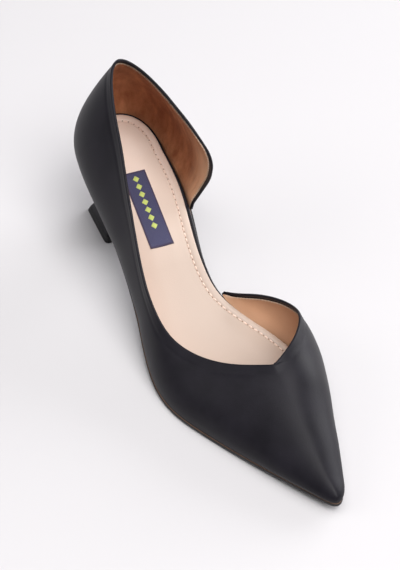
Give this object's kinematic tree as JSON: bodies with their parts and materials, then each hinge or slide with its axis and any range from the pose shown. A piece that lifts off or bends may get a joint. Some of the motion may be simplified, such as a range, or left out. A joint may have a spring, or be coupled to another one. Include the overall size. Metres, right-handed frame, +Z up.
{
  "type": "pointed toe pump with low flared heel",
  "caption": "Right-foot leather pump with a pointed toe, an open inner waist, a padded insole and a low square heel that flares to its foot; worn on the foot.",
  "frame": {"origin": "on the floor under the centre of the shoe's bounding box", "axes": "+X forward to the toe, +Y to the wearer's left, which is the inner side of this right shoe, +Z up"},
  "size_m": [0.2684, 0.0856, 0.1104],
  "materials": {
    "upper_leather": "fine grained, matte to satin",
    "outsole_rubber": "matte",
    "board_wrap": "glossy at the edge",
    "sock_leather": "smooth, slight sheen",
    "heel_leather": "satin",
    "lift_rubber": "matte"
  },
  "bodies": {
    "root": {"upper": "upper_leather", "outsole": "outsole_rubber", "insole_board": "board_wrap", "insole_sock": "sock_leather", "heel": "heel_leather", "heel_lift": "lift_rubber"}
  },
  "joints": []
}
